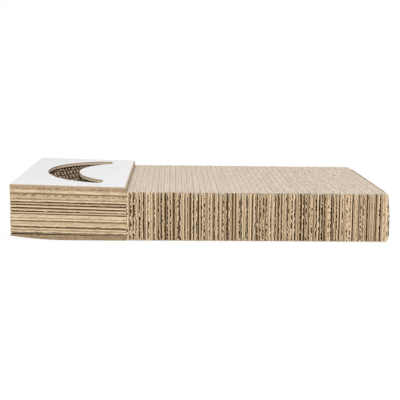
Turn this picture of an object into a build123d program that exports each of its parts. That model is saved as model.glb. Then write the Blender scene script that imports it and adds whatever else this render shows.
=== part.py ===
# Flat cardboard cat scratcher, in millimetres.
# A long pad of upright corrugated strips is glued to a block of flat corrugated layers.
# The block has a white-faced cover, and a crescent in the cover shows an end-grain core.
# +X runs along the scratcher to the free end of the pad, +Y to the back, +Z up.
# The origin is on the floor, under the middle of the whole scratcher.

import os

from build123d import *

# Corrugated board stock
paper = 0.3  # one ply of kraft liner
flute = 3.45  # height of one row of flutes in the upright strips
layer_flute = 3.55  # height of one row of flutes in the flat layers
cover_flute = 5.2  # height of the coarser flutes in the cover
base_flute = 5.8  # height of the coarser flutes in the base
face_ply = 0.3  # white paper on top of the cover

# Whole scratcher
width = 215.0  # front to back

# Pad of upright strips
pad_reach = 335.0  # length wanted, which whole strips make up as nearly as they can
corner_radius = 10.0  # free corners, seen from above
edge_radius = 5.0  # bottom edge of the free end, seen from the front
flute_recess = 3.4  # how far the flutes of a strip stand back from its cut edges, between the liners

# Block of flat layers
layer_count = 7  # frame layers round a window, over one whole base
free_rail = 19.5  # frame beside the window, at the block's free end
joint_rail = 22.5  # frame beside the window, at the pad
side_rail = 8.0  # frame beside the window, front and back
tilt_lift = 3.2  # how much higher the layers stand at the free end than at the pad
toe_lift = 5.8  # how far the base's underside has curled up at the free end
toe_run = 75.0  # length over which it curls

# Core of upright strips in the window
core_count = 13
core_gap = 0.3  # between the core and the frame round it
core_play = 0.1  # between the core and the sheets under and over it

# Crescent in the cover
end_ledge = 9.8  # cover inside the window's ends, left and right of the crescent
side_ledge = 13.5  # cover inside the window's sides, if the crescent were centred
crescent_offset = 5.0  # of the crescent towards the back
crescent_band = 43.0  # width at its middle
radius_step = 12.0  # by which the inner arc is tighter than the outer one
tip_radius = 8.0  # rounding of the two blunt tips

# Sizes that follow
board = 2 * flute + 3 * paper  # double-wall strip: three liners round two rows of flutes
layer = 2 * layer_flute + 3 * paper  # double-wall layer
cover = cover_flute + 2 * paper  # single-wall sheet
base = base_flute + 2 * paper  # single-wall sheet
stack_height = base + layer_count * layer  # top of the layers at the pad, flush with it
strip_count = round(pad_reach / board)
pad_length = strip_count * board
window_length = core_count * board + 2 * core_gap
window_width = width - 2 * side_rail
block_length = free_rail + window_length + joint_rail
free_x = -(block_length + pad_length) / 2
joint_x = free_x + block_length
pad_end_x = joint_x + pad_length
window_x = free_x + free_rail  # end of the window nearest the block's free end
above_all = 2 * (stack_height + cover + face_ply + tilt_lift)  # tall enough to cut through the block


def lift_at(x):
    """Height that the tilted layers have gained at x."""
    return tilt_lift * (joint_x - x) / block_length


def across(outline):
    """A solid of the whole width from an outline seen from the front."""
    return extrude(Plane.XZ * make_face(outline), width / 2, both=True)


def tilted_sheet(bottom, thickness):
    """A sheet of the block's whole plan, which lies at this height at the pad."""
    top = bottom + thickness
    corners = [
        (joint_x, bottom),
        (free_x, bottom + tilt_lift),
        (free_x, top + tilt_lift),
        (joint_x, top),
    ]
    return across(Polyline(*corners, close=True))


def block_base():
    """The lowest sheet: tilted on top, flat on the floor, and curled up at the free end."""
    on_floor = Line((joint_x, 0), (free_x + toe_run, 0))
    toe = TangentArc(on_floor @ 1, (free_x, toe_lift), tangent=on_floor % 1)
    over = Polyline(toe @ 1, (free_x, base + tilt_lift), (joint_x, base), (joint_x, 0))
    return across([on_floor, toe, over])


def frame_rails(bottom):
    """The strips of a frame layer: one along each side, and one between them at each end."""
    sheet = tilted_sheet(bottom, layer)
    side_y = (width - side_rail) / 2
    side = Box(block_length, side_rail, above_all)
    rooms = [
        Pos((free_x + joint_x) / 2, -side_y) * side,
        Pos((free_x + joint_x) / 2, side_y) * side,
        Pos(free_x + free_rail / 2) * Box(free_rail, window_width, above_all),
        Pos(joint_x - joint_rail / 2) * Box(joint_rail, window_width, above_all),
    ]
    return Compound([sheet & room for room in rooms])


def upright_strip(left, length, bottom, top):
    """A double-wall strip on edge across the scratcher, with its flutes upright."""
    centre = Pos(left + board / 2, 0, (bottom + top) / 2)
    return centre * Box(board, length, top - bottom)


def core_strips():
    """Upright strips in the window, each as high as the tilted sheets leave room for."""
    strips = []
    for i in range(core_count):
        left = window_x + core_gap + i * board
        bottom = base + lift_at(left) + core_play
        top = stack_height + lift_at(left + board) - core_play
        strips.append(upright_strip(left, window_width - 2 * core_gap, bottom, top))
    return Compound(strips)


def crescent_cut():
    """The crescent, cut straight down through the cover and its white face."""
    outer_radius = window_width / 2 - side_ledge
    inner_radius = outer_radius - radius_step
    left = window_x + end_ledge
    tips_x = window_x + window_length - end_ledge
    outer = Pos(left + outer_radius, crescent_offset) * Circle(outer_radius)
    inner = Pos(left + crescent_band + inner_radius, crescent_offset) * Circle(inner_radius)
    to_tips = Pos((left + tips_x) / 2, 0) * Rectangle(tips_x - left, width)
    crescent = (outer - inner) & to_tips
    crescent = fillet(crescent.vertices().group_by(Axis.X)[-1], tip_radius)
    return extrude(crescent, above_all)


def pad_envelope(recess):
    """The pad's outer shape, its free end rounded at the corners and the bottom edge.

    The recess moves the top, the front and the back in."""
    at_middle = Pos((joint_x + pad_end_x) / 2, 0)
    height = stack_height - recess
    plan = Rectangle(pad_length, width - 2 * recess)
    plan = fillet(plan.vertices().group_by(Axis.X)[-1], corner_radius)
    side = Rectangle(pad_length, height)
    side = fillet(side.vertices().group_by(Axis.X)[-1].sort_by(Axis.Y)[0], edge_radius)
    upright = Plane.XZ * Pos(0, height / 2) * at_middle * side
    return extrude(at_middle * plan, height) & extrude(upright, width / 2, both=True)


def pad_strips():
    """Upright strips side by side, each with its flutes set back between three liners."""
    liner_cut = pad_envelope(0)
    flute_cut = pad_envelope(flute_recess)
    liner = Pos(paper / 2, 0, stack_height / 2) * Box(paper, width, stack_height)
    strips = []
    for i in range(strip_count):
        left = joint_x + i * board
        strip = flute_cut & upright_strip(left, width, 0, stack_height)
        for row in range(3):
            strip += liner_cut & Pos(left + row * (paper + flute)) * liner
        strips.append(strip)
    return strips


def scratcher():
    """Every piece by its node's name."""
    crescent = crescent_cut()
    nodes = {"block_base": block_base()}
    for i in range(layer_count):
        nodes[f"frame_layer_{i + 1}"] = frame_rails(base + i * layer)
    nodes["core_strips"] = core_strips()
    nodes["cover_board"] = tilted_sheet(stack_height, cover) - crescent
    nodes["cover_face"] = tilted_sheet(stack_height + cover, face_ply) - crescent
    for i, strip in enumerate(pad_strips(), start=1):
        nodes[f"pad_strip_{i:02d}"] = strip
    return nodes


os.makedirs("parts", exist_ok=True)
for name, piece in scratcher().items():
    export_step(piece, f"parts/{name}.step")
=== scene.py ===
import math
import random

import bmesh
import bpy
from mathutils import Matrix, Vector, noise


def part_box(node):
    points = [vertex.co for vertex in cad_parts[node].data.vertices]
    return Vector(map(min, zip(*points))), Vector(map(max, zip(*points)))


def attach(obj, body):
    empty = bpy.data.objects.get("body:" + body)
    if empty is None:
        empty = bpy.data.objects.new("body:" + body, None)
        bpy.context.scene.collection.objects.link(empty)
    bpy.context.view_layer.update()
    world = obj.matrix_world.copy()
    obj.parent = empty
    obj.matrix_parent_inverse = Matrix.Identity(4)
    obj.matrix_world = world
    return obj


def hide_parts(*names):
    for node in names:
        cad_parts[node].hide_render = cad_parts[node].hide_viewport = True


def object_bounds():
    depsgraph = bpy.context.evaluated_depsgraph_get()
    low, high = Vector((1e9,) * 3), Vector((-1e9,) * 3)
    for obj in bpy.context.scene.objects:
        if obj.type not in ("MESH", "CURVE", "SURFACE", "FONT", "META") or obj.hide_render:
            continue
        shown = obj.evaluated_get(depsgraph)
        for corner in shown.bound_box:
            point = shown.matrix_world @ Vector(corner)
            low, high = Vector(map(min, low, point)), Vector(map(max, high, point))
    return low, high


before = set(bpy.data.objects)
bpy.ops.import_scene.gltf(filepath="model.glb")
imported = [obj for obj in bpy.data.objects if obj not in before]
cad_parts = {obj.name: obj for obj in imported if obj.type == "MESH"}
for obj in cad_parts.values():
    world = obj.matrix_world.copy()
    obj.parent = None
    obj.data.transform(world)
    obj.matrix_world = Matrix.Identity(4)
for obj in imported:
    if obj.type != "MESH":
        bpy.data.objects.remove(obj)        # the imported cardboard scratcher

mm = 0.001
tiny = 1e-6         # m: places nearer than this are one place
facing = 0.7        # least cosine at which a face counts as pointing some way
cadLow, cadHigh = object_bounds()
print("frame loaded,", len(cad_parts), "nodes")


def addObject(name, data):
    made = bpy.data.objects.new(name, data)
    bpy.context.scene.collection.objects.link(made)
    return made


# uneven, from about -1 to 1
def ripple(*spot):
    return noise.noise(Vector(spot))


# a soft ramp from 0 to 1
def smooth(share):
    share = max(0.0, min(1.0, share))
    return share * share * (3 - 2 * share)


# the photograph's camera, found from the edges of the pad and the block
viewSpec = {
    "spot": (-38.29 * mm, -954.87 * mm, 238.16 * mm),
    "yaw": 2.398,       # degrees to the right of +Y
    "pitch": 12.276,    # degrees below level
    "roll": 0.974,
    "lens": 62.0,       # mm, as the sensor is
    "sensor": 36.0,
}


def addCamera(spec):
    camera = addObject("camera", bpy.data.cameras.new("camera"))
    camera.data.lens = spec["lens"]
    camera.data.sensor_width = spec["sensor"]
    turn = Matrix.Rotation(math.radians(-spec["yaw"]), 4, "Z")
    tip = Matrix.Rotation(math.radians(90 - spec["pitch"]), 4, "X")
    roll = Matrix.Rotation(math.radians(spec["roll"]), 4, "Z")
    camera.matrix_world = Matrix.Translation(spec["spot"]) @ turn @ tip @ roll
    bpy.context.scene.camera = camera


addCamera(viewSpec)


# wraps a node's output, so that shader maths reads as plain sums
class Sock:
    def __init__(self, tree, link=None):
        self.tree = tree
        self.link = link

    def make(self, kind, settings, sockets, out=0):
        node = self.tree.nodes.new(kind)
        for name, value in settings.items():
            setattr(node, name, value)
        for name, value in sockets.items():
            if isinstance(value, Sock):
                value.feed(node, name)
            else:
                node.inputs[name].default_value = value
        return Sock(self.tree, node.outputs[out])

    def feed(self, node, name):
        self.tree.links.new(self.link, node.inputs[name])

    def math(self, operation, *values):
        return self.make("ShaderNodeMath", {"operation": operation}, dict(enumerate(values)))

    def __add__(self, other):
        return self.math("ADD", self, other)

    def __sub__(self, other):
        return self.math("SUBTRACT", self, other)

    def __rsub__(self, other):
        return self.math("SUBTRACT", other, self)

    def __mul__(self, other):
        return self.math("MULTIPLY", self, other)

    def __truediv__(self, other):
        return self.math("DIVIDE", self, other)

    __radd__ = __add__
    __rmul__ = __mul__

    # a soft step from 0 at low to 1 at high
    def step(self, low, high):
        ends = {"Value": self, "From Min": low, "From Max": high}
        return self.make("ShaderNodeMapRange", {"interpolation_type": "SMOOTHSTEP"}, ends)

    def floor(self):
        return self.math("FLOOR", self)

    def __abs__(self):
        return self.math("ABSOLUTE", self)

    # two colours mixed by this mask
    def mix(self, first, second):
        pair = [c if isinstance(c, Sock) else (*c, 1.0) for c in (first, second)]
        return self.make("ShaderNodeMix", {"data_type": "RGBA"}, {0: self, 6: pair[0], 7: pair[1]}, 2)


def newMaterial(name, values):
    material = bpy.data.materials.new(name)
    material.use_nodes = True
    shader = material.node_tree.nodes["Principled BSDF"]
    for socket, value in values.items():
        shader.inputs[socket].default_value = value
    return material, shader, Sock(material.node_tree)


def axisOf(sock, place, axis):
    return sock.make("ShaderNodeSeparateXYZ", {}, {"Vector": place}, axis)


def patch(sock, place, stretch, scale, detail, rough=0.5):
    spot = sock.make("ShaderNodeMapping", {}, {"Vector": place, "Scale": stretch})
    sockets = {"Vector": spot, "Scale": scale, "Detail": detail, "Roughness": rough}
    return sock.make("ShaderNodeTexNoise", {}, sockets)


def addBump(shader, height, strength, depth):
    sockets = {"Strength": strength, "Distance": depth, "Height": height}
    height.make("ShaderNodeBump", {}, sockets, "Normal").feed(shader, "Normal")


# what all the brown papers share, where a paper's own look doesn't say otherwise
kraftSpec = {
    "fibre": (900, 3, 0.65),                    # noise along the grain: scale, detail and roughness
    "blotch": ((1, 1, 1), 55, 3),               # noise: stretch, scale and detail
    "dash": ((0.45, 0.45, 1.5), 480, 1.5),
    "bead": ((2.5, 0.7, 0), 100, 1),
    "streak": 0.4, "blotchShare": 0.3, "toneShare": 0.6, "ribShare": 0.09,      # in a sheet's shade
    "shadeRange": (0.0, 0.7),                   # of that shade, from the dark colour to the light one
    "edge": (0.8, 0.7, 0.5), "edgeDepth": 0.8 * mm, "edgeShare": 0.5,       # colour of the cut edge
    "dashRange": (0.46, 0.58),
    "dashFade": (0.8 * mm, 1.5 * mm),           # at the low end of the dashes, and at the high one
    "frontCut": (2.2 * mm, 6.0 * mm),           # inset over which a sheet gets clear of its front cut
    "backCut": (0.4 * mm, 1.6 * mm),            # the same for its back cut
    "halfway": (-1.0 * mm, 1.0 * mm),           # along Y, from the front half to the back half
    "crestTop": 0.1 * mm,                       # below the top, where a crest is at its palest
    "topTintFull": 0.3,                          # share of its reach down to which the top tint is full
    "topTintShare": (0.75, 0.4),                 # least, and what the fibres add
    "beadRange": (0.42, 0.58),
    "tornDepth": 3.0 * mm,                      # added to the depth of a place beside a torn cut, which deepens its painted shade
    "rough": (0.75, 0.2),                       # least, and what the fibres add
    "bump": (0.35, 0.2 * mm),
}


# from 0 in the darks of a sheet to 1 in its lights
def sheetShade(sock, place, axes, fibre, look):
    row = ((axes[look["rowAxis"]] - look["rowStart"]) / look["rowPitch"]).floor()
    tone = sock.make("ShaderNodeTexWhiteNoise", {"noise_dimensions": "1D"}, {"W": row + look["seed"]})
    blotch = patch(sock, place, *look["blotch"])
    shade = blotch * look["blotchShare"] + (fibre - 0.5) * look["streak"] + tone * look["toneShare"]
    # ribs: painted light and shade of the flutes' ribs under a liner
    if "ribs" in look:
        shade = shade + sock.math("SINE", axes["Y"] * (2 * math.pi / look["ribs"])) * look["ribShare"]
    return shade.step(*look["shadeRange"])


# 1 where a sheet is clear of its torn cuts at the front and the back
def clearOfCuts(axes, inset, look):
    front = inset.step(*look["frontCut"])
    back = inset.step(*look["backCut"])
    behind = axes["Y"].step(*look["halfway"])
    return front + behind * (back - front)


# broken dark lines between two heights
def dashMask(sock, place, axes, look):
    low, high = look["dashes"]
    fadeLow, fadeHigh = look["dashFade"]
    between = axes["Z"].step(low, low + fadeLow) * (1 - axes["Z"].step(high - fadeHigh, high))
    return patch(sock, place, *look["dash"]).step(*look["dashRange"]) * between * look["dashShare"]


# brown paper: blotches, fibres along the flutes, a tone for each sheet, pale cut tops with painted light
# below them, and painted shade in the hollows
def kraftPaper(name, ownLook):
    look = {**kraftSpec, **ownLook}
    material, shader, sock = newMaterial(name, {"Specular IOR Level": 0.2})
    place = sock.make("ShaderNodeTexCoord", {}, {}, "Object")
    axes = {axis: axisOf(sock, place, axis) for axis in "XYZ"}
    if "tilt" in look:
        axes["Z"] = axes["Z"] + (axes["X"] - look["level"]) * look["tilt"]
    fibre = patch(sock, place, look["grain"], *look["fibre"])
    inset = sock.make("ShaderNodeAttribute", {"attribute_name": "inset"}, {}, "Fac")
    clear = clearOfCuts(axes, inset, look)
    colour = sheetShade(sock, place, axes, fibre, look).mix(look["dark"], look["light"])
    rim = (1 - inset.step(0.0, look["edgeDepth"])) * look["edgeShare"]
    colour = rim.mix(colour, look["edge"])
    if "dashes" in look:
        colour = dashMask(sock, place, axes, look).mix(colour, look["dashColour"])
    crest = 0.0
    # top tint: the paler cut paper at the crest, and painted light down into the flutes' cells, where
    # shade falls; darker tints are painted shade
    if "topTintAndPaintedLight" in look:
        top, reach = look["topTintLevel"], look["topTintReach"]
        least, more = look["topTintShare"]
        crest = axes["Z"].step(top - look["crest"], top - look["crestTop"])
        # worn here is the top tint's reach: painted light below the crest
        worn = axes["Z"].step(top - reach, top - look["topTintFull"] * reach) * clear
        worn = sock.math("MAXIMUM", worn, crest)
        colour = (worn * (fibre * more + least)).mix(colour, look["topTintAndPaintedLight"])
        if "beads" in look:     # dark spots along a liner's top
            bead = patch(sock, place, *look["bead"]).step(*look["beadRange"])
            colour = (worn * bead * look["beads"]).mix(colour, look["dark"])
    # painted shade: darker with depth in from the cuts, where the hollows lie in shade
    if "paintedShade" in look:
        depth = inset
        for axis, spot, share in look["cuts"]:
            below = abs(axes[axis] - spot) * share + (1 - clear) * look["tornDepth"]
            depth = sock.math("MINIMUM", depth, below)
        shaded = depth.step(*look["hollow"]) * look["paintedShadeShare"]
        colour = (shaded * (1 - crest)).mix(colour, look["paintedShade"])
    colour.feed(shader, "Base Color")
    least, more = look["rough"]
    (fibre * more + least).feed(shader, "Roughness")
    addBump(shader, fibre, *look["bump"])
    return material


# one corrugated board, and how its sheets were cut
boardSpec = {
    "liner": 0.30 * mm,
    "medium": 0.24 * mm,        # the fluted paper
    "pitch": 7.9 * mm,          # from flute to flute
    "columns": 10,              # grid columns to a flute
    "cutBand": 2.6 * mm,        # depth of the ragged zone beside a cut
    "linerBands": (3.0, 1.0, 0.45),         # where a liner is divided beside a cut, in such depths
    "linerNick": 0.4, "linerBend": 0.2,     # a liner's share of the wear of a flute
    "ripples": ((1.0, 3.7), (3.1, 5.3), (1.4, 8.1)),    # torn, sway and curl: length in waves, own seed
    "nickMix": (0.35, 1.2, 0.5),            # a nick's depth: mean, and the shares of torn and sway
    "bendMix": (1.3, 1.0),                  # a bend's depth: the shares of curl and sway
    "sagWave": 7.0 * mm,        # length of the dips along a top edge
    "sagMean": 0.5,             # their mean depth, as a share of the sag
    "clean": {"nick": 0.15 * mm, "bend": 0.10 * mm, "wave": 3.0 * mm, "division": 2.0 * mm},
    "burred": {"nick": 0.55 * mm, "bend": 0.32 * mm, "wave": 2.2 * mm, "division": 0.9 * mm},
    "nicked": {"nick": 1.10 * mm, "bend": 0.90 * mm, "wave": 2.2 * mm, "division": 0.75 * mm},
    "torn": {"nick": 2.10 * mm, "bend": 1.50 * mm, "wave": 1.8 * mm, "division": 0.6 * mm},
}


# a piece's points keep how far in from a cut they lie
def newPiece():
    bm = bmesh.new()
    bm.verts.layers.float.new("inset")
    return bm


# a whole board's points count as far from any torn edge
def markWhole(bm):
    insetLayer = bm.verts.layers.float["inset"]
    for v in bm.verts:
        v[insetLayer] = 1.0


def sliceSheet(bm, spot, across):
    geom = bm.verts[:] + bm.edges[:] + bm.faces[:]
    bmesh.ops.bisect_plane(bm, geom=geom, plane_co=spot, plane_no=across)


# divides the sheet finely beside the two cuts that run along the flutes, or all over
def divideCuts(bm, span, reach, spec, division, whole):
    inner = 0.0 if whole else span / 2 - spec["cutBand"]
    along = [e for e in bm.edges if abs(e.verts[0].co.x - e.verts[1].co.x) < tiny]
    beside = [e for e in along if abs(e.verts[0].co.x) > inner - tiny]
    bmesh.ops.subdivide_edges(bm, edges=beside, cuts=round(reach / division), use_grid_fill=True)


def cutWindow(bm, window):
    low, high = window
    for axis in (0, 1):
        across = Vector((1 - axis, axis, 0))
        for spot in (low[axis], high[axis]):
            sliceSheet(bm, across * spot, across)
    inside = []
    for face in bm.faces:
        spot = face.calc_center_median()
        if low[0] < spot.x < high[0] and low[1] < spot.y < high[1]:
            inside.append(face)
    bmesh.ops.delete(bm, geom=inside, context="FACES")


# the flat grid that a sheet starts from
def sheetGrid(spec, span, reach, flat, wear, window, whole):
    bm = newPiece()
    columns = 1 if flat else round(span / spec["pitch"] * spec["columns"])
    size = Matrix.Diagonal((span, reach, 1, 1))
    bmesh.ops.create_grid(bm, x_segments=columns, y_segments=1, size=0.5, matrix=size)
    if flat:
        for share in spec["linerBands"]:
            for side in (-1, 1):
                spot = Vector((side * (span / 2 - share * spec["cutBand"]), 0, 0))
                sliceSheet(bm, spot, (1, 0, 0))
    if wear:
        divideCuts(bm, span, reach, spec, spec[wear]["division"], whole)
    if window:
        cutWindow(bm, window)
    bmesh.ops.poke(bm, faces=[f for f in bm.faces if len(f.verts) > 4])     # no slivers beside the cuts
    return bm


# a sheet lies in its own XY plane: the wave runs along X, the flutes along Y
def paperSheet(spec, span, reach, seed, flute=None, phase=0.0, drift=0.0, wear=None, window=None,
               sag=0.0, mash=0.0, recess=0.0, whole=False):
    span -= 2 * recess
    flat = flute is None
    bm = sheetGrid(spec, span, reach, flat, wear, window, whole)
    insetLayer = bm.verts.layers.float["inset"]
    thick = spec["liner"] if flat else spec["medium"]
    swing = 0 if flat else (flute - thick) / 2
    for v in bm.verts:
        x, y = v.co.x, v.co.y
        turn = 2 * math.pi * (x + span / 2) / spec["pitch"]
        v.co.z = swing * math.sin(turn + phase + drift * 2 * y / reach)
        # a recessed liner counts its inset from the cut it stands back from, which darkens its painted
        # shade
        v[insetLayer] = span / 2 - abs(x) + recess
        near = 1 - (v[insetLayer] - recess) / spec["cutBand"]
        if wear and near > 0:
            tear(v, spec, wear, near, flat, swing, seed)
        if sag and y > reach / 2 - tiny:
            v.co.y -= sag * (spec["sagMean"] + ripple(x / spec["sagWave"], seed, 0.5))
    bmesh.ops.solidify(bm, geom=bm.faces[:], thickness=thick)
    bmesh.ops.translate(bm, verts=bm.verts, vec=(0, 0, thick / 2))
    bmesh.ops.recalc_face_normals(bm, faces=bm.faces[:])
    if mash:
        flareCuts(bm, spec, flute / 2, mash)
    return bm


# pulls a point beside a cut inwards, and bends it out of its sheet
def tear(v, spec, kind, near, flat, swing, seed):
    wear = spec[kind]
    y = v.co.y
    side = math.copysign(1, v.co.x)
    torn, sway, curl = (
        ripple(y / (length * wear["wave"]), seed * own, side) for length, own in spec["ripples"]
    )
    mean, tornShare, swayShare = spec["nickMix"]
    nick = wear["nick"] * (spec["linerNick"] if flat else 1.0)
    v.co.x -= side * near * nick * max(0, mean + tornShare * torn + swayShare * sway)
    curlShare, swayShare = spec["bendMix"]
    bend = wear["bend"] * (spec["linerBend"] if flat else 1.0)
    limit = max(swing, bend)
    v.co.z = max(-limit, min(limit, v.co.z + near * bend * (curlShare * curl + swayShare * sway)))


# a blunt blade mashes the paper at the cut, and its edge spreads
def flareCuts(bm, spec, room, mash):
    insetLayer = bm.verts.layers.float["inset"]
    bm.normal_update()
    for v in bm.verts:
        near = 1 - v[insetLayer] / spec["cutBand"]
        if near > 0:
            spread = math.copysign(near * near * mash / 2, v.normal.z)
            v.co.z = max(-room, min(room, v.co.z + spread))


# adds a finished sheet to a piece
def pour(bm, sheet, place, slot):
    sheet.transform(place)
    for face in sheet.faces:
        face.material_index = slot
    mesh = bpy.data.meshes.new("sheet")
    sheet.to_mesh(mesh)
    sheet.free()
    bm.from_mesh(mesh)
    bpy.data.meshes.remove(mesh)


# liners and flutes in turn, from the bottom liner up: (middle of the sheet, flute height or None)
def stackOf(spec, thick, rows):
    flute = (thick - (rows + 1) * spec["liner"]) / rows
    for row in range(rows + 1):
        yield spec["liner"] / 2 + row * (spec["liner"] + flute), None
        if row < rows:
            yield spec["liner"] + flute / 2 + row * (spec["liner"] + flute), flute


def finishPiece(bm, name, node, materials, smoothAngle=50):
    mesh = bpy.data.meshes.new(name)
    bm.to_mesh(mesh)
    bm.free()
    piece = addObject(name, mesh)
    for material in materials:
        mesh.materials.append(material)
    mesh.shade_smooth()
    mesh.set_sharp_from_angle(angle=math.radians(smoothAngle))
    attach(piece, "root")
    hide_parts(node)


# pad of upright strips
padSpec = {
    "count": 43,
    "topPlay": 0.15 * mm,       # uneven heights of the sheets
    "jointDrop": 0.25 * mm,     # how much lower the glued outer liners stand
    "sag": 0.3 * mm,            # dips along a sheet's top edge
    "frontPlay": 0.5 * mm,      # uneven ends of the strips
    "cornerRadius": 10.0 * mm,
    "edgeRadius": 7.5 * mm,     # bottom edge of the free end
    "topRadius": 4.0 * mm,      # top of the free end, at its corners only
    "crownStart": 30.0 * mm,    # from the front or the back, where that rounding starts
    "crownRun": 22.0 * mm,      # over which it deepens
    "push": 0.4 * mm,           # how far the glue has spread the strips
    "fan": 2.4 * mm,            # how far the free end leans out at the floor
    "bulge": 2.0 * mm,          # of the last two strips, in their lower part
    "bulgeRows": 4,             # rows of flutes over which it grows
    "bulgeTop": 0.97, "bulgeRun": 0.45,         # shares of the height: where it starts, and its growth
    "wear": (("clean", 2), ("nicked", 5), ("torn", 5)),
    "phases": (0.7, 0.7, 0.7, 1.57),            # radians that a cut may be from the middle of a flute
    "mash": (0.0, 0.0, 0.1, 0.3, 0.5, 0.8),     # mm that a flute's cut edge has spread
    "seed": 11,
}
stripLow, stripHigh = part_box("pad_strip_01")
padStart = stripLow.x
padRow = (stripHigh.x - stripLow.x) / 2
padTop = stripHigh.z
padLook = {
    "light": (0.82, 0.64, 0.42), "dark": (0.48, 0.345, 0.21), "edge": (0.82, 0.67, 0.46),
    "grain": (1, 1, 0.12), "rowAxis": "X", "rowStart": padStart, "rowPitch": padRow, "seed": 3.0,
    "topTintAndPaintedLight": (1.0, 0.92, 0.82), "topTintLevel": padTop, "topTintReach": 12.0 * mm, "crest": 0.6 * mm,
    "cuts": [("Z", 0.0, 1.0), ("Z", padTop, 0.12)],     # axis, place, and pace of the painted shade
    "paintedShade": (0.125, 0.050, 0.005), "hollow": (0.6 * mm, 2.6 * mm), "paintedShadeShare": 0.95,
}
padLiner = kraftPaper("kraft pad liner", {**padLook, "topTintAndPaintedLight": (0.98, 0.90, 0.80), "beads": 0.45})
padFlutes = kraftPaper("kraft pad flutes", {**padLook, "seed": 8.0})
# the glued outer liners get a darker top tint: painted shade of the groove at each joint between strips
padGlued = kraftPaper("kraft pad glued liner", {
    **padLook, "topTintAndPaintedLight": (0.78, 0.635, 0.495), "beads": 0.6, "seed": 14.0,
})
# the last strip's tops get a darker tint: painted shade where its rounded end slopes away from the light
padEndLiner = kraftPaper("kraft pad end liner", {
    **padLook, "light": (0.70, 0.535, 0.345), "topTintAndPaintedLight": (0.40, 0.30, 0.20), "paintedShadeShare": 0.0,
    "streak": 1.2, "rowPitch": 1.0, "seed": 5.0,        # one tone all over
    "ribs": boardSpec["pitch"],                         # painted light and shade of the ribs that the flutes press into it
})
padEndFlutes = kraftPaper("kraft pad end flutes", {**padLook, "topTintAndPaintedLight": (0.58, 0.47, 0.36), "seed": 8.0})
padPapers = (padLiner, padFlutes, padGlued, padEndLiner, padEndFlutes)


# a sheet's X goes to the scratcher's Y, its Y to Z and its Z to X
def uprightPlace(x, y, z):
    return Matrix(((0, 0, 1, x), (1, 0, 0, y), (0, 1, 0, z), (0, 0, 0, 1)))


# what a quarter round at the free end takes off at x
def roundOff(x, radius):
    past = max(0.0, min(radius, x - (cadHigh.x - radius)))
    return radius - math.sqrt(radius * radius - past * past)


# rounds the free end, and leans the strips out towards the floor
def shapeFreeEnd(bm, spec):
    end = cadHigh.x
    middle = padTop / 2
    bulgeStart = end - spec["bulgeRows"] * padRow
    for v in bm.verts:
        x, z = v.co.x, v.co.z
        v.co.y *= 1 - roundOff(x, spec["cornerRadius"]) / cadHigh.y
        edge = roundOff(x, spec["edgeRadius"])
        crown = roundOff(x, spec["topRadius"])
        crown *= smooth((abs(v.co.y) - cadHigh.y + spec["crownStart"]) / spec["crownRun"])
        off = edge if z < middle else crown
        v.co.z = middle + (z - middle) * (1 - off / middle)
        lean = (spec["push"] + spec["fan"] * (1 - z / padTop)) * (x - padStart) / (end - padStart)
        bulge = spec["bulge"] * smooth((x - bulgeStart) / (end - bulgeStart))
        bulge *= smooth((spec["bulgeTop"] - z / padTop) / spec["bulgeRun"])
        v.co.x += lean + bulge


def makePadStrip(number, spec, rng):
    node = f"pad_strip_{number:02d}"
    low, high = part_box(node)
    bm = newPiece()
    span = cadHigh.y - cadLow.y - spec["frontPlay"]
    shift = rng.uniform(-0.5, 0.5) * spec["frontPlay"]
    kinds, weights = zip(*spec["wear"])
    sheets = list(stackOf(boardSpec, high.x - low.x, 2))
    for i, (depth, flute) in enumerate(sheets):
        outer = i in (0, len(sheets) - 1)
        last = number == spec["count"] and i > 2        # seen from the free end
        drop = rng.uniform(0, spec["topPlay"]) + (spec["jointDrop"] if outer else 0)
        phase = rng.choice((0, math.pi)) + rng.uniform(-1, 1) * rng.choice(spec["phases"])
        wear = "torn" if number == 1 else rng.choices(kinds, weights)[0]
        seed = rng.uniform(0, 100)
        mash = rng.choice(spec["mash"]) * mm if flute else 0.0
        sheet = paperSheet(boardSpec, span, padTop - drop, seed, flute, phase, wear=wear,
                           sag=spec["sag"], mash=mash, whole=last and not flute)
        if flute:
            paper = padEndFlutes if last else padFlutes
        else:
            paper = padEndLiner if last else padGlued if outer else padLiner
        place = uprightPlace(low.x + depth, shift, (padTop - drop) / 2)
        pour(bm, sheet, place, padPapers.index(paper))
    shapeFreeEnd(bm, spec)
    finishPiece(bm, f"padStrip{number:02d}", node, padPapers)


padRng = random.Random(padSpec["seed"])
for number in range(1, padSpec["count"] + 1):
    makePadStrip(number, padSpec, padRng)
print("pad strips made")


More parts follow.
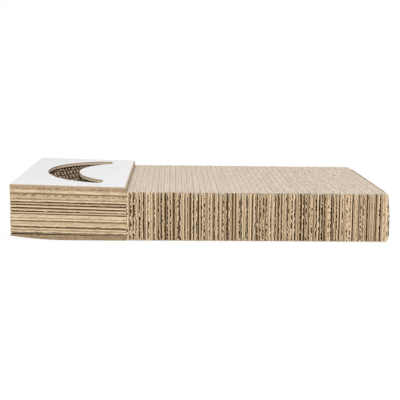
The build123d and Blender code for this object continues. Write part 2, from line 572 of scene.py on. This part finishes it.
# block of flat layers round the window
blockLow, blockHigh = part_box("cover_board")
coreLow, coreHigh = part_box("core_strips")
faceLow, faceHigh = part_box("cover_face")
blockMiddle = (blockLow.x + blockHigh.x) / 2
blockLength = blockHigh.x - blockLow.x
faceThick = 0.3 * mm        # the white paper
tiltLift = faceHigh.z - faceLow.z - faceThick
slope = tiltLift / blockLength
blockTilt = Matrix(((1, 0, 0, 0), (0, 1, 0, 0), (-slope, 0, 1, slope * blockHigh.x), (0, 0, 0, 1)))
layerSpec = {
    "count": 7,
    "coreGap": 0.3 * mm,
    "lean": 1.7 * mm,       # how much further out the free end stands at the floor than at the cover
    # each row's cut, upwards: the flute's phase in degrees, and the mm that its edge has spread
    "rows": ((-10, 0.6), (180, 1.3), (10, 2.2), (-30, 2.6), (-20, 0.5), (0, 2.9), (140, 0.3),
             (-30, 0.3), (-20, 0.2), (-10, 0.1), (-25, 0.3), (10, 2.6), (-80, 1.9), (0, 3.0)),
    "phasePlay": 5,         # degrees either way
    "drift": 12,            # degrees, at most, by which the phase changes from a row's middle to its end
    # rows and liners are counted upwards from 0, two rows and three liners to a layer
    "shallow": (1, 2, 3, 4),    # rows whose hollows get a lighter painted shade
    "dashed": (12,),            # a row with dark dashes of painted shade along its lighter hollows
    "recessed": (2, 3, 5, 6, 10, 11, 12, 13, 14, 15),       # liners that stand back from the cut
    "recess": 2.6 * mm,
    "wear": (("clean", 1), ("burred", 3)),
    "seed": 23,
}
layerBottoms = [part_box(f"frame_layer_{i}")[0].z for i in range(1, layerSpec["count"] + 1)]
layerThick = layerBottoms[1] - layerBottoms[0]
layerLook = {
    "light": (0.77, 0.61, 0.415), "dark": (0.44, 0.315, 0.18), "edge": (0.77, 0.63, 0.445),
    "edgeShare": 0.2, "streak": 2.0, "grain": (0.12, 1, 1),
    "rowAxis": "Z", "rowStart": layerBottoms[0], "rowPitch": layerThick / 2, "seed": 5.0,
    "tilt": slope, "level": blockHigh.x,
    "cuts": [("X", blockLow.x, 1.0)],
    "paintedShade": (0.16, 0.064, 0.008), "hollow": (0.5 * mm, 2.3 * mm), "paintedShadeShare": 0.92,
}
layerLiner = kraftPaper("kraft layer liner", layerLook)
layerFlutes = kraftPaper("kraft layer flutes", {**layerLook, "seed": 9.0})
shallowLook = {**layerLook, "paintedShade": (0.40, 0.27, 0.145), "seed": 9.0}
layerShallow = kraftPaper("kraft shallow row", shallowLook)
layerDashed = kraftPaper("kraft dashed row", {
    **shallowLook, "dashColour": (0.15, 0.075, 0.025), "dashShare": 0.75,
    "dashes": (layerBottoms[-1] - 0.8 * mm, layerBottoms[-1] + layerThick / 2 + 0.6 * mm),
})
layerPapers = (layerLiner, layerFlutes, layerShallow, layerDashed)


# a flat sheet's X goes to the scratcher's Y, and its Y back along X; the block tilts up to its free end
def flatPlace(z):
    return blockTilt @ Matrix(((0, -1, 0, blockMiddle), (1, 0, 0, 0), (0, 0, 1, z), (0, 0, 0, 1)))


# the free end is square to the tilted layers, so the lower sheets stand further out
def leanFreeEnd(bm, spec):
    for v in bm.verts:
        along = (blockHigh.x - v.co.x) / blockLength
        v.co.x -= spec["lean"] * along * (1 - v.co.z / blockHigh.z)


def layerPaper(row, flute, spec):
    if row in spec["dashed"]:
        return layerDashed
    if row in spec["shallow"]:
        return layerShallow
    return layerFlutes if flute else layerLiner


def makeFrameLayer(number, spec, rng):
    node = f"frame_layer_{number}"
    low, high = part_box(node)
    bm = newPiece()
    gap = spec["coreGap"]
    windowLow = (coreLow.y - gap, blockMiddle - coreHigh.x - gap)
    windowHigh = (coreHigh.y + gap, blockMiddle - coreLow.x + gap)
    kinds, weights = zip(*spec["wear"])
    topRow = len(spec["rows"]) - 1
    for i, (height, flute) in enumerate(stackOf(boardSpec, layerThick, 2)):
        row = 2 * (number - 1) + i // 2         # of this flute, or of the one over this liner, if any
        liner = 3 * (number - 1) + i // 2
        degrees, spread = spec["rows"][min(row, topRow)]
        phase = math.radians(degrees + rng.uniform(-spec["phasePlay"], spec["phasePlay"]))
        drift = math.radians(rng.uniform(-1, 1) * spec["drift"])
        wear = rng.choices(kinds, weights)[0]
        seed = rng.uniform(0, 100)
        mash = spread * mm if flute else 0.0
        recess = spec["recess"] if not flute and liner in spec["recessed"] else 0.0
        sheet = paperSheet(boardSpec, high.y - low.y, blockLength, seed, flute, phase, drift, wear,
                           (windowLow, windowHigh), mash=mash, recess=recess)
        slot = layerPapers.index(layerPaper(row, flute, spec))
        pour(bm, sheet, flatPlace(low.z + height), slot)
    leanFreeEnd(bm, spec)
    finishPiece(bm, f"frameLayer{number}", node, layerPapers)


layerRng = random.Random(layerSpec["seed"])
for number in range(1, layerSpec["count"] + 1):
    makeFrameLayer(number, layerSpec, layerRng)
print("frame layers made")


# end-grain core in the window
coreSpec = {
    "count": 13,
    "pitch": 20.0 * mm,
    "medium": 1.2 * mm,
    "play": 0.1 * mm,           # over the base
    "drop": 0.2 * mm,           # under the cover
    "linerDrop": 2.0 * mm,      # how much lower the liners are worn
    "shift": 4.2 * mm,          # from row to row, along the rows
    "phasePlay": 0.3,           # radians either way
    "band": 36.7 * mm,          # from one worn band to the next
    "wornDrop": 0.65 * mm,
    "wornLevel": 0.4, "wornSwing": 0.4,         # the bands' mean, and their swing about it
    "rippleWave": 9.0 * mm, "rippleStep": 0.6,  # unevenness along a row, and from row to row
    "seed": 31,
}
# the core's browns are darker than the other papers: painted shade of its place down under the cover; its
# lower liners' tops get a dark tint, painted shade
coreLook = {
    "light": (0.46, 0.34, 0.21), "dark": (0.30, 0.21, 0.12),
    "grain": (1, 1, 0.12), "rowAxis": "X", "rowStart": coreLow.x, "rowPitch": padRow, "seed": 2.0,
    "tilt": slope, "level": blockHigh.x,
    "topTintAndPaintedLight": (0.70, 0.545, 0.385), "topTintLevel": blockLow.z, "topTintReach": 0.8 * mm, "crest": 0.3 * mm,
    "cuts": [("Z", blockLow.z, 1.0)],
    "paintedShade": (0.125, 0.076, 0.036), "hollow": (0.3 * mm, 0.9 * mm), "paintedShadeShare": 0.92,
}
coreLiner = kraftPaper("kraft core liner", {**coreLook, "topTintAndPaintedLight": (0.20, 0.15, 0.10)})
coreFlutes = kraftPaper("kraft core flutes", {**coreLook, "seed": 6.0})
corePapers = (coreLiner, coreFlutes)


# claws have worn the rows lower in bands across them
def wearRow(sheet, spec, row):
    for v in sheet.verts:
        if v.co.y > 0:
            along = v.co.x - row * spec["shift"]
            worn = spec["wornLevel"] + spec["wornSwing"] * math.sin(2 * math.pi * along / spec["band"])
            worn += ripple(v.co.x / spec["rippleWave"], row * spec["rippleStep"], spec["seed"])
            v.co.y -= spec["wornDrop"] * smooth(worn)


def makeCore(spec, rng):
    bm = newPiece()
    board = {**boardSpec, "pitch": spec["pitch"], "medium": spec["medium"]}
    width = (coreHigh.x - coreLow.x) / spec["count"]
    for i in range(spec["count"]):
        left = coreLow.x + i * width
        bottom = layerBottoms[0] + slope * (blockHigh.x - left) + spec["play"]
        top = blockLow.z + slope * (blockHigh.x - left - width) - spec["drop"]
        for j, (depth, flute) in enumerate(stackOf(board, width, 2)):
            row = 2 * i + j // 2
            phase = rng.uniform(-spec["phasePlay"], spec["phasePlay"])
            phase -= 2 * math.pi * row * spec["shift"] / spec["pitch"]
            high = top if flute else top - spec["linerDrop"]
            sheet = paperSheet(board, coreHigh.y - coreLow.y, high - bottom, 0, flute, phase)
            wearRow(sheet, spec, row)
            place = uprightPlace(left + depth, 0, (high + bottom) / 2)
            pour(bm, sheet, place, corePapers.index(coreFlutes if flute else coreLiner))
    finishPiece(bm, "coreStrips", "core_strips", corePapers)


makeCore(coreSpec, random.Random(coreSpec["seed"]))
print("core made")


# cover and its white face, with the crescent
crescentSpec = {
    "left": 9.8 * mm,       # from the window's end to the outer arc
    "tips": 9.8 * mm,       # from the blunt tips to the window's other end
    "outer": 86.0 * mm,     # radius
    "inner": 74.0 * mm,     # radius
    "band": 43.0 * mm,
    "offset": 5.0 * mm,     # towards the back
    "tipRadius": 8.0 * mm,
    "arcStep": 2.0 * mm,
}


def spinArc(bm, vert, centre, angle, radius, step):
    steps = max(3, round(abs(angle) * radius / step))
    made = bmesh.ops.spin(bm, geom=[vert], cent=centre, axis=(0, 0, 1), angle=angle, steps=steps)
    return next(g for g in made["geom_last"] if isinstance(g, bmesh.types.BMVert))


# the crescent's outline: from the middle of the outer arc round a tip to the inner arc, then mirrored
def addCrescent(bm, spec, wider):
    windowLow = coreLow.x - layerSpec["coreGap"]
    windowHigh = coreHigh.x + layerSpec["coreGap"]
    left = windowLow + spec["left"] - wider
    tips = windowHigh - spec["tips"] + wider
    outerRadius = spec["outer"] + wider
    innerRadius = spec["inner"] - wider
    outer = Vector((left + outerRadius, spec["offset"], 0))
    inner = Vector((windowLow + spec["left"] + spec["band"] + spec["inner"], spec["offset"], 0))
    radius = spec["tipRadius"] + wider
    x = tips - radius
    high = Vector((x, outer.y + math.sqrt((outerRadius - radius) ** 2 - (x - outer.x) ** 2), 0))
    low = Vector((x, inner.y + math.sqrt((innerRadius + radius) ** 2 - (x - inner.x) ** 2), 0))
    outerEnd = math.atan2(high.y - outer.y, high.x - outer.x)
    innerEnd = math.atan2(low.y - inner.y, low.x - inner.x)
    step = spec["arcStep"]
    vert = bm.verts.new((left, spec["offset"], 0))
    vert = spinArc(bm, vert, outer, outerEnd - math.pi, outerRadius, step)
    vert = spinArc(bm, vert, high, -outerEnd, radius, step / 2)
    made = bmesh.ops.extrude_vert_indiv(bm, verts=[vert])
    vert = made["verts"][0]
    vert.co = (tips, low.y, 0)
    vert = spinArc(bm, vert, low, innerEnd - math.pi, radius, step / 2)
    spinArc(bm, vert, inner, math.pi - innerEnd, innerRadius, step)
    middle = Matrix.Translation((0, -spec["offset"], 0))
    geom = bm.verts[:] + bm.edges[:]
    bmesh.ops.mirror(bm, geom=geom, matrix=middle, merge_dist=tiny, axis="Y")
    bmesh.ops.remove_doubles(bm, verts=bm.verts[:], dist=tiny)


# the cover's plan with its crescent, as one flat sheet of triangles at height zero
def coverPlan(wider=0.0):
    bm = bmesh.new()
    addCrescent(bm, crescentSpec, wider)
    corners = [(blockLow.x, blockLow.y), (blockHigh.x, blockLow.y), (blockHigh.x, blockHigh.y),
               (blockLow.x, blockHigh.y)]
    verts = [bm.verts.new((x, y, 0)) for x, y in corners]
    sides = [bm.edges.new((verts[i], verts[(i + 1) % 4])) for i in range(4)]
    step = crescentSpec["arcStep"]
    bmesh.ops.subdivide_edges(bm, edges=sides[0::2], cuts=round(blockLength / step))
    bmesh.ops.subdivide_edges(bm, edges=sides[1::2], cuts=round((blockHigh.y - blockLow.y) / step))
    bmesh.ops.triangle_fill(bm, edges=bm.edges[:], use_beauty=True, normal=(0, 0, 1))
    for face in bm.faces:
        if face.normal.z < 0:
            face.normal_flip()
    return bm


# gives a flat plan its thickness, downwards from the top
def thicken(bm, top, thick):
    bmesh.ops.solidify(bm, geom=bm.faces[:], thickness=thick)
    bmesh.ops.recalc_face_normals(bm, faces=bm.faces[:])
    high = max(v.co.z for v in bm.verts)
    bmesh.ops.translate(bm, verts=bm.verts, vec=(0, 0, top - high))


# how the die crushed the edges of the cover and the base
dieSpec = {
    "levels": 5,
    "wave": 9.0 * mm,       # length of the dents along an edge
    "height": 1.1 * mm,     # and up it
    "mean": 0.6,            # mean depth, as a share of the dent
}


# a board's edge as the die left it: crushed, in fine uneven levels
def crushEdge(bm, spec, dent, seed):
    uprights = [e for e in bm.edges if abs(e.verts[0].co.z - e.verts[1].co.z) > tiny]
    made = bmesh.ops.subdivide_edges(bm, edges=uprights, cuts=spec["levels"])
    bm.normal_update()
    for v in [g for g in made["geom_inner"] if isinstance(g, bmesh.types.BMVert)]:
        dip = ripple(v.co.x / spec["wave"], v.co.y / spec["wave"], v.co.z / spec["height"] + seed)
        v.co -= v.normal * dent * (spec["mean"] + dip)


coverSpec = {
    "dent": 0.35 * mm,
    "turnDown": 0.12 * mm, "turnWidth": 1.8 * mm,           # of the white paper at its edges
    "undercut": 2.5 * mm, "undercutHeight": 1.7 * mm,       # under the crescent's edge
    "margin": 2.0 * mm,         # nearer to the outline than this, a face belongs to the outer edge
    "sideMargin": 0.5 * mm,     # and nearer to the joint than this, to the side over the pad
    "seed": 3,
}
coverThick = blockHigh.z - blockLow.z - tiltLift
coverTop = blockLow.z + coverThick     # at the joint, before the tilt
coverLook = {
    "grain": (0.2, 0.2, 1), "tilt": slope, "level": blockHigh.x, "seed": 4.0,
    "rowAxis": "Z", "rowStart": blockLow.z - 20 * mm, "rowPitch": 80 * mm,      # one tone all over
}
coverBrown = kraftPaper("kraft cover edge", {
    **coverLook, "light": (0.56, 0.415, 0.27), "dark": (0.43, 0.31, 0.195),
    "dashes": (blockLow.z, blockLow.z + 4.2 * mm), "dashColour": (0.25, 0.155, 0.085), "dashShare": 0.9,
})
# a lighter copy of the cover's brown on the side over the pad: painted light
coverSidePaintedLight = kraftPaper("kraft cover side, painted light", {
    **coverLook, "light": (0.92, 0.76, 0.58), "dark": (0.78, 0.62, 0.46),
    "dashes": (blockLow.z - 3 * mm, blockLow.z + 5 * mm),
    "dashColour": (0.36, 0.26, 0.165), "dashShare": 0.9,
})
coverLiner = kraftPaper("kraft cover liner", {
    **coverLook, "light": (0.72, 0.58, 0.42), "dark": (0.58, 0.45, 0.31),
})
# a lighter copy of the cover's brown on the crescent's walls: painted light where the walls lie in the
# crescent's shade
coverWallPaintedLight = kraftPaper("kraft crescent wall, painted light", {
    **coverLook, "light": (0.80, 0.645, 0.485), "dark": (0.44, 0.33, 0.225),
    "rowStart": blockLow.z, "rowPitch": 1.0 * mm, "seed": 7.0,
})
# a near-black copy of the cover's brown in the undercut under the crescent's edge: painted shade
coverUnderPaintedShade = kraftPaper("kraft painted shade under the crescent", {
    **coverLook, "light": (0.12, 0.065, 0.028), "dark": (0.07, 0.036, 0.014),
})


def makeCover(spec):
    edgeSlot, linerSlot, wallLightSlot, underShadeSlot, sideLightSlot = range(5)
    bm = newPiece()
    liner = boardSpec["liner"]
    low = spec["undercutHeight"]
    topLiner = coverPlan()
    thicken(topLiner, coverTop, liner)
    pour(bm, topLiner, blockTilt, linerSlot)
    under = coverPlan(spec["undercut"])
    thicken(under, coverTop - coverThick + low, low)
    pour(bm, under, blockTilt, underShadeSlot)
    slab = coverPlan()
    thicken(slab, coverTop - liner, coverThick - liner - low)
    crushEdge(slab, dieSpec, spec["dent"], spec["seed"])
    pour(bm, slab, blockTilt, edgeSlot)
    markWhole(bm)
    margin = spec["margin"]
    for face in bm.faces:
        spot = face.calc_center_median()
        inside = blockLow.x + margin < spot.x < blockHigh.x - margin
        inside = inside and abs(spot.y) < blockHigh.y - margin
        if face.material_index == underShadeSlot and not inside:
            face.material_index = edgeSlot
        elif face.material_index == edgeSlot and inside and abs(face.normal.z) < facing:
            face.material_index = wallLightSlot
        if spot.x > blockHigh.x - spec["sideMargin"] and face.normal.x > facing:
            face.material_index = sideLightSlot
    browns = (coverBrown, coverLiner, coverWallPaintedLight, coverUnderPaintedShade, coverSidePaintedLight)
    finishPiece(bm, "coverBoard", "cover_board", browns, smoothAngle=35)


# white paper, streaked along the scratcher
whiteLook = {
    "light": (0.85, 0.845, 0.847), "dark": (0.80, 0.796, 0.814),
    "streak": ((0.12, 1, 1), 160, 2),       # noise: stretch, scale and detail
    "mottle": ((1, 1, 1), 40, 3),
    "streakShare": 0.6, "mottleShare": 0.4, "shadeRange": (0.3, 0.7),
    "bump": (0.2, 0.3 * mm),
}


def whitePaper(name, look):
    material, shader, sock = newMaterial(name, {"Roughness": 0.6, "Specular IOR Level": 0.3})
    place = sock.make("ShaderNodeTexCoord", {}, {}, "Object")
    streak = patch(sock, place, *look["streak"])
    mottle = patch(sock, place, *look["mottle"])
    shade = (streak * look["streakShare"] + mottle * look["mottleShare"]).step(*look["shadeRange"])
    shade.mix(look["dark"], look["light"]).feed(shader, "Base Color")
    addBump(shader, streak, *look["bump"])
    return material


def wornRim(name):
    values = {"Base Color": (0.55, 0.43, 0.32, 1), "Roughness": 0.7, "Specular IOR Level": 0.2}
    return newMaterial(name, values)[0]


def makeFace(spec):
    whiteSlot, rimSlot, brownSlot = range(3)
    sheet = coverPlan()
    bmesh.ops.inset_region(sheet, faces=sheet.faces[:], thickness=spec["turnWidth"], use_boundary=True)
    rim = [v for v in sheet.verts if v.is_boundary]
    bmesh.ops.translate(sheet, verts=rim, vec=(0, 0, -spec["turnDown"]))
    thicken(sheet, coverTop + faceThick, faceThick)
    bm = newPiece()
    pour(bm, sheet, blockTilt, whiteSlot)
    for face in bm.faces:
        spot = face.calc_center_median()
        if abs(spot.y) > blockHigh.y - spec["turnWidth"] or spot.x > blockHigh.x - spec["turnWidth"]:
            face.material_index = rimSlot if face.normal.z > facing else brownSlot
    markWhole(bm)
    papers = (whitePaper("white face paper", whiteLook), wornRim("worn white rim"), coverBrown)
    finishPiece(bm, "coverFace", "cover_face", papers, smoothAngle=60)


makeCover(coverSpec)
makeFace(coverSpec)
print("cover made")


# base board, curled up at the free end
baseSpec = {
    "toeRun": 75.0 * mm, "toeLift": 5.8 * mm,
    "gapNear": 0.9 * mm, "gapFar": 1.9 * mm,        # under the layers, at the pad and at the free end
    "dent": 0.3 * mm,
    "segments": (72, 108),      # along the scratcher and across it
    "seed": 8,
}
baseBrown = kraftPaper("kraft base edge", {
    **coverLook, "light": (0.58, 0.44, 0.29), "dark": (0.36, 0.255, 0.15), "rowStart": -20 * mm,
    "dashes": (-3 * mm, layerBottoms[0] + 2 * mm), "dashColour": (0.20, 0.125, 0.065), "dashShare": 0.6,
})
# the base's top, seen in the gap under the layers: painted shade, darker in from its edges
gapBrown = kraftPaper("kraft base top", {
    **layerLook, "cuts": [("X", blockLow.x, 1.0), ("Y", blockLow.y, 1.0), ("Y", blockHigh.y, 1.0)],
    "paintedShade": (0.05, 0.03, 0.015), "hollow": (0.2 * mm, 1.4 * mm), "paintedShadeShare": 0.95,
})


def makeBase(spec):
    edgeSlot, topSlot = range(2)
    low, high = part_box("block_base")
    thick = high.z - tiltLift
    bm = newPiece()
    place = Matrix.Translation((blockMiddle, 0, 0)) @ Matrix.Diagonal((blockLength, high.y - low.y, 1, 1))
    lengthwise, across = spec["segments"]
    bmesh.ops.create_grid(bm, x_segments=lengthwise, y_segments=across, size=0.5, matrix=place)
    thicken(bm, thick, thick)
    crushEdge(bm, dieSpec, spec["dent"], spec["seed"])
    for v in bm.verts:
        share = v.co.z / thick
        along = (high.x - v.co.x) / blockLength
        curl = max(0, spec["toeRun"] - (v.co.x - low.x)) / spec["toeRun"]
        under = spec["toeLift"] * curl * curl
        gap = spec["gapNear"] + (spec["gapFar"] - spec["gapNear"]) * along
        over = thick + tiltLift * along - gap
        v.co.z = under + (over - under) * share
    leanFreeEnd(bm, layerSpec)
    markWhole(bm)
    for face in bm.faces:
        face.material_index = topSlot if face.normal.z > facing else edgeSlot
    finishPiece(bm, "blockBase", "block_base", (baseBrown, gapBrown), smoothAngle=35)


makeBase(baseSpec)
print("base made")


# floor, backdrop and light
stageSpec = {
    "floor": 6.0,                       # m across
    "floorDrop": 0.1 * mm,              # below the object's underside
    "underEdge": (-4 * mm, 2 * mm),     # over which the shade under the object turns to white
    "shadow": 0.1,                      # share of the true shadow that the white floor keeps
    "shadowReach": (0.1, 0.6),          # m beside the object, over which that share fades out
    "white": 1.03,                      # strength of the floor's white
    "world": 0.4,                       # strength of the light from all round
    "lamps": {                          # place and size in m, power in watts
        "key": ((-0.15, -1.8, 1.15), 1.2, 26.0),
        "overhead": ((0.1, 0.2, 1.8), 1.5, 9.0),
        "back": ((0.5, 1.7, 0.9), 1.2, 6.0),
    },
}


def seenDirectly(sock):
    rays = ["Is Camera Ray", "Is Glossy Ray", "Is Transmission Ray"]
    camera, glossy, through = (sock.make("ShaderNodeLightPath", {}, {}, ray) for ray in rays)
    return sock.math("MINIMUM", camera + glossy + through, 1.0)


def floorPaint(spec):
    values = {"Base Color": (0.9, 0.9, 0.9, 1), "Roughness": 1.0, "Specular IOR Level": 0.0}
    material, shader, sock = newMaterial("pale floor", values)
    place = sock.make("ShaderNodeTexCoord", {}, {}, "Object")
    standing = blockLow.x + baseSpec["toeRun"]      # the object touches the floor from here on
    besideX = abs(axisOf(sock, place, "X") - (cadHigh.x + standing) / 2) - (cadHigh.x - standing) / 2
    besideY = abs(axisOf(sock, place, "Y")) - cadHigh.y
    beside = sock.math("MAXIMUM", besideX, besideY)
    shadow = (1 - beside.step(*spec["shadowReach"])) * spec["shadow"]
    seen = seenDirectly(sock) * beside.step(*spec["underEdge"]) * (1 - shadow)
    white = sock.make("ShaderNodeEmission", {}, {"Color": (1, 1, 1, 1), "Strength": spec["white"]})
    plain = Sock(sock.tree, shader.outputs[0])
    mixed = sock.make("ShaderNodeMixShader", {}, {0: seen, 1: plain, 2: white})
    mixed.feed(sock.tree.nodes["Material Output"], "Surface")
    return material


def paleFloor(spec):
    bm = bmesh.new()
    bmesh.ops.create_grid(bm, x_segments=1, y_segments=1, size=spec["floor"] / 2)
    bmesh.ops.translate(bm, verts=bm.verts, vec=(0, 0, -spec["floorDrop"]))
    mesh = bpy.data.meshes.new("floor")
    bm.to_mesh(mesh)
    bm.free()
    floor = addObject("floor", mesh)
    mesh.materials.append(floorPaint(spec))


def paleWorld(spec):
    world = bpy.data.worlds.new("pale world")
    bpy.context.scene.world = world
    world.use_nodes = True
    sock = Sock(world.node_tree)
    background = world.node_tree.nodes["Background"]
    background.inputs["Color"].default_value = (1, 1, 1, 1)
    level = seenDirectly(sock) * (1 - spec["world"]) + spec["world"]
    level.feed(background, "Strength")


# a square soft light that faces the object
def softbox(name, spot, size, power):
    lamp = bpy.data.lights.new(name, "AREA")
    lamp.shape = "SQUARE"
    lamp.size = size
    lamp.energy = power
    aim = -Vector(spot)
    turn = aim.to_track_quat("-Z", "Y").to_matrix().to_4x4()
    addObject(name, lamp).matrix_world = Matrix.Translation(spot) @ turn


paleFloor(stageSpec)
paleWorld(stageSpec)
for name, (spot, size, power) in stageSpec["lamps"].items():
    softbox(name, spot, size, power)
bpy.context.scene.view_settings.view_transform = "Standard"
print("stage lit")
